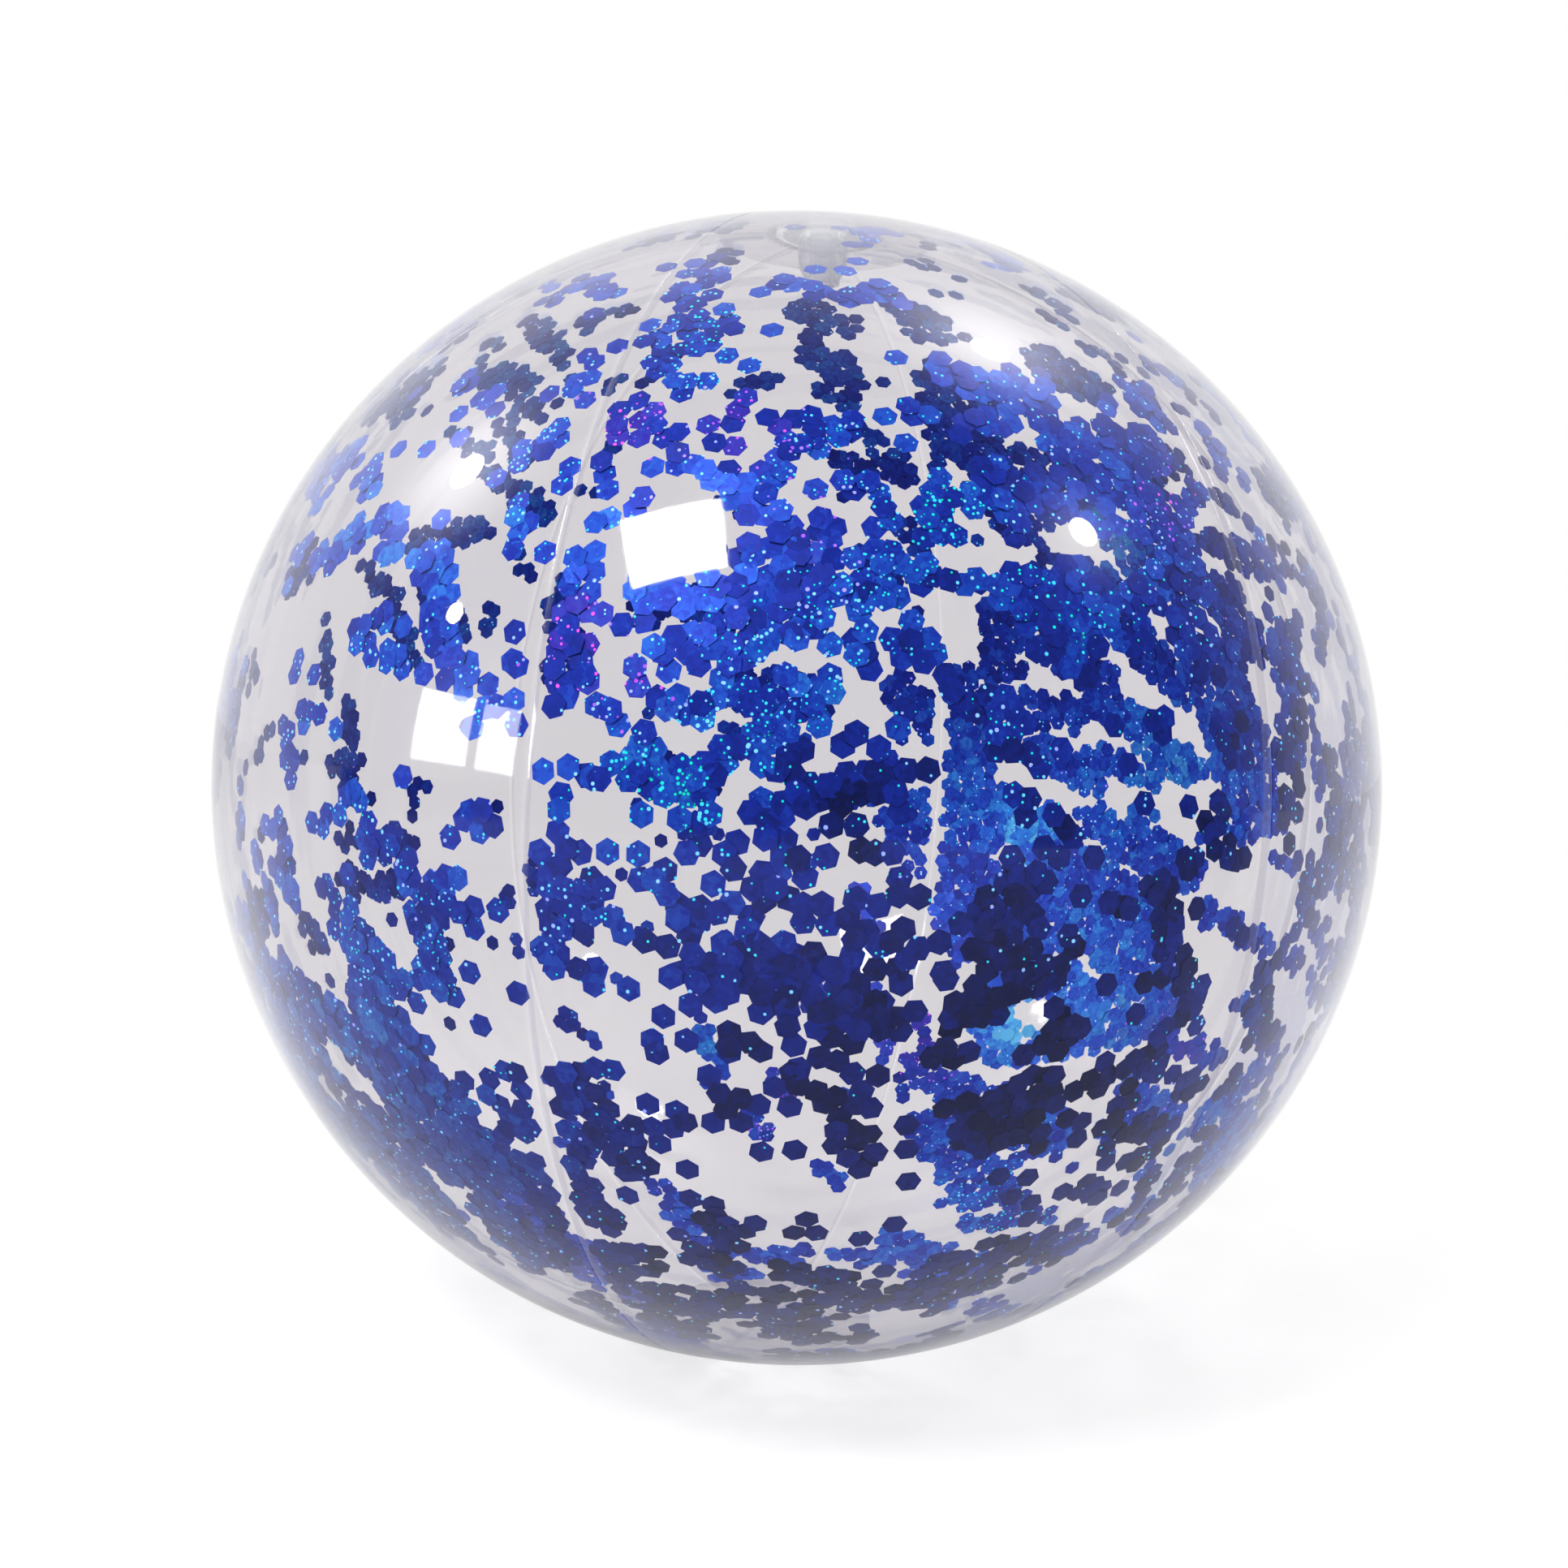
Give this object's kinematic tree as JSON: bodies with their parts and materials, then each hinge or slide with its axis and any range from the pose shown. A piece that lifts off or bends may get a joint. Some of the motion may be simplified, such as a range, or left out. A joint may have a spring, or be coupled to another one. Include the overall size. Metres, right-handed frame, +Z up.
{
  "type": "beach ball",
  "caption": "Clear inflatable beach ball of welded film gores with loose hexagonal blue foil flakes inside, closed by pole discs and a push-in valve with plug and check flap.",
  "frame": {"origin": "middle of the flat that the resting ball presses into its bottom pole disc, on the floor", "axes": "+Z up along the polar axis through both pole discs and the valve, -Y towards the front gore, +X to the right"},
  "size_m": [0.2998, 0.2996, 0.2961],
  "materials": {
    "clear_film": "clear gloss vinyl film",
    "valve_vinyl": "milky soft vinyl",
    "blue_foil": "blue holographic metallised foil"
  },
  "bodies": {
    "ball": {"gore_1": "clear_film", "gore_2": "clear_film", "gore_3": "clear_film", "gore_4": "clear_film", "gore_5": "clear_film", "gore_6": "clear_film", "top_pole_disc": "clear_film", "bottom_pole_disc": "clear_film", "valve_flange": "valve_vinyl", "valve_web": "valve_vinyl", "glitter_1_1": "blue_foil", "glitter_1_2": "blue_foil", "glitter_1_3": "blue_foil", "glitter_1_4": "blue_foil", "glitter_2_1": "blue_foil", "glitter_2_2": "blue_foil", "glitter_2_3": "blue_foil", "glitter_2_4": "blue_foil", "glitter_3_1": "blue_foil", "glitter_3_2": "blue_foil", "glitter_3_3": "blue_foil", "glitter_3_4": "blue_foil", "glitter_4_1": "blue_foil", "glitter_4_2": "blue_foil", "glitter_4_3": "blue_foil", "glitter_4_4": "blue_foil", "glitter_5_1": "blue_foil", "glitter_5_2": "blue_foil", "glitter_5_3": "blue_foil", "glitter_5_4": "blue_foil", "glitter_6_1": "blue_foil", "glitter_6_2": "blue_foil", "glitter_6_3": "blue_foil", "glitter_6_4": "blue_foil"},
    "stem": {"valve_stem": "valve_vinyl", "plug_tether": "valve_vinyl"},
    "plug": {"valve_plug": "valve_vinyl"},
    "flap": {"check_flap": "valve_vinyl"}
  },
  "joints": [
    {"name": "stem_pull", "type": "slide", "parent": "ball", "child": "stem", "axis": [0, 0, 1], "range_m": [0, 0.01], "deforming": ["valve_web"]},
    {"name": "plug_pull", "type": "slide", "parent": "stem", "child": "plug", "axis": [0, 0, 1], "range_m": [0, 0.0055], "deforming": ["plug_tether"]},
    {"name": "flap_swing", "type": "hinge", "parent": "stem", "child": "flap", "pos_m": [-0.004, 0, 0.28213], "axis": [0, 1, 0], "range_deg": [0, 60], "stiffness_Nm_per_rad": 0.00001, "springref_deg": -28.65}
  ]
}
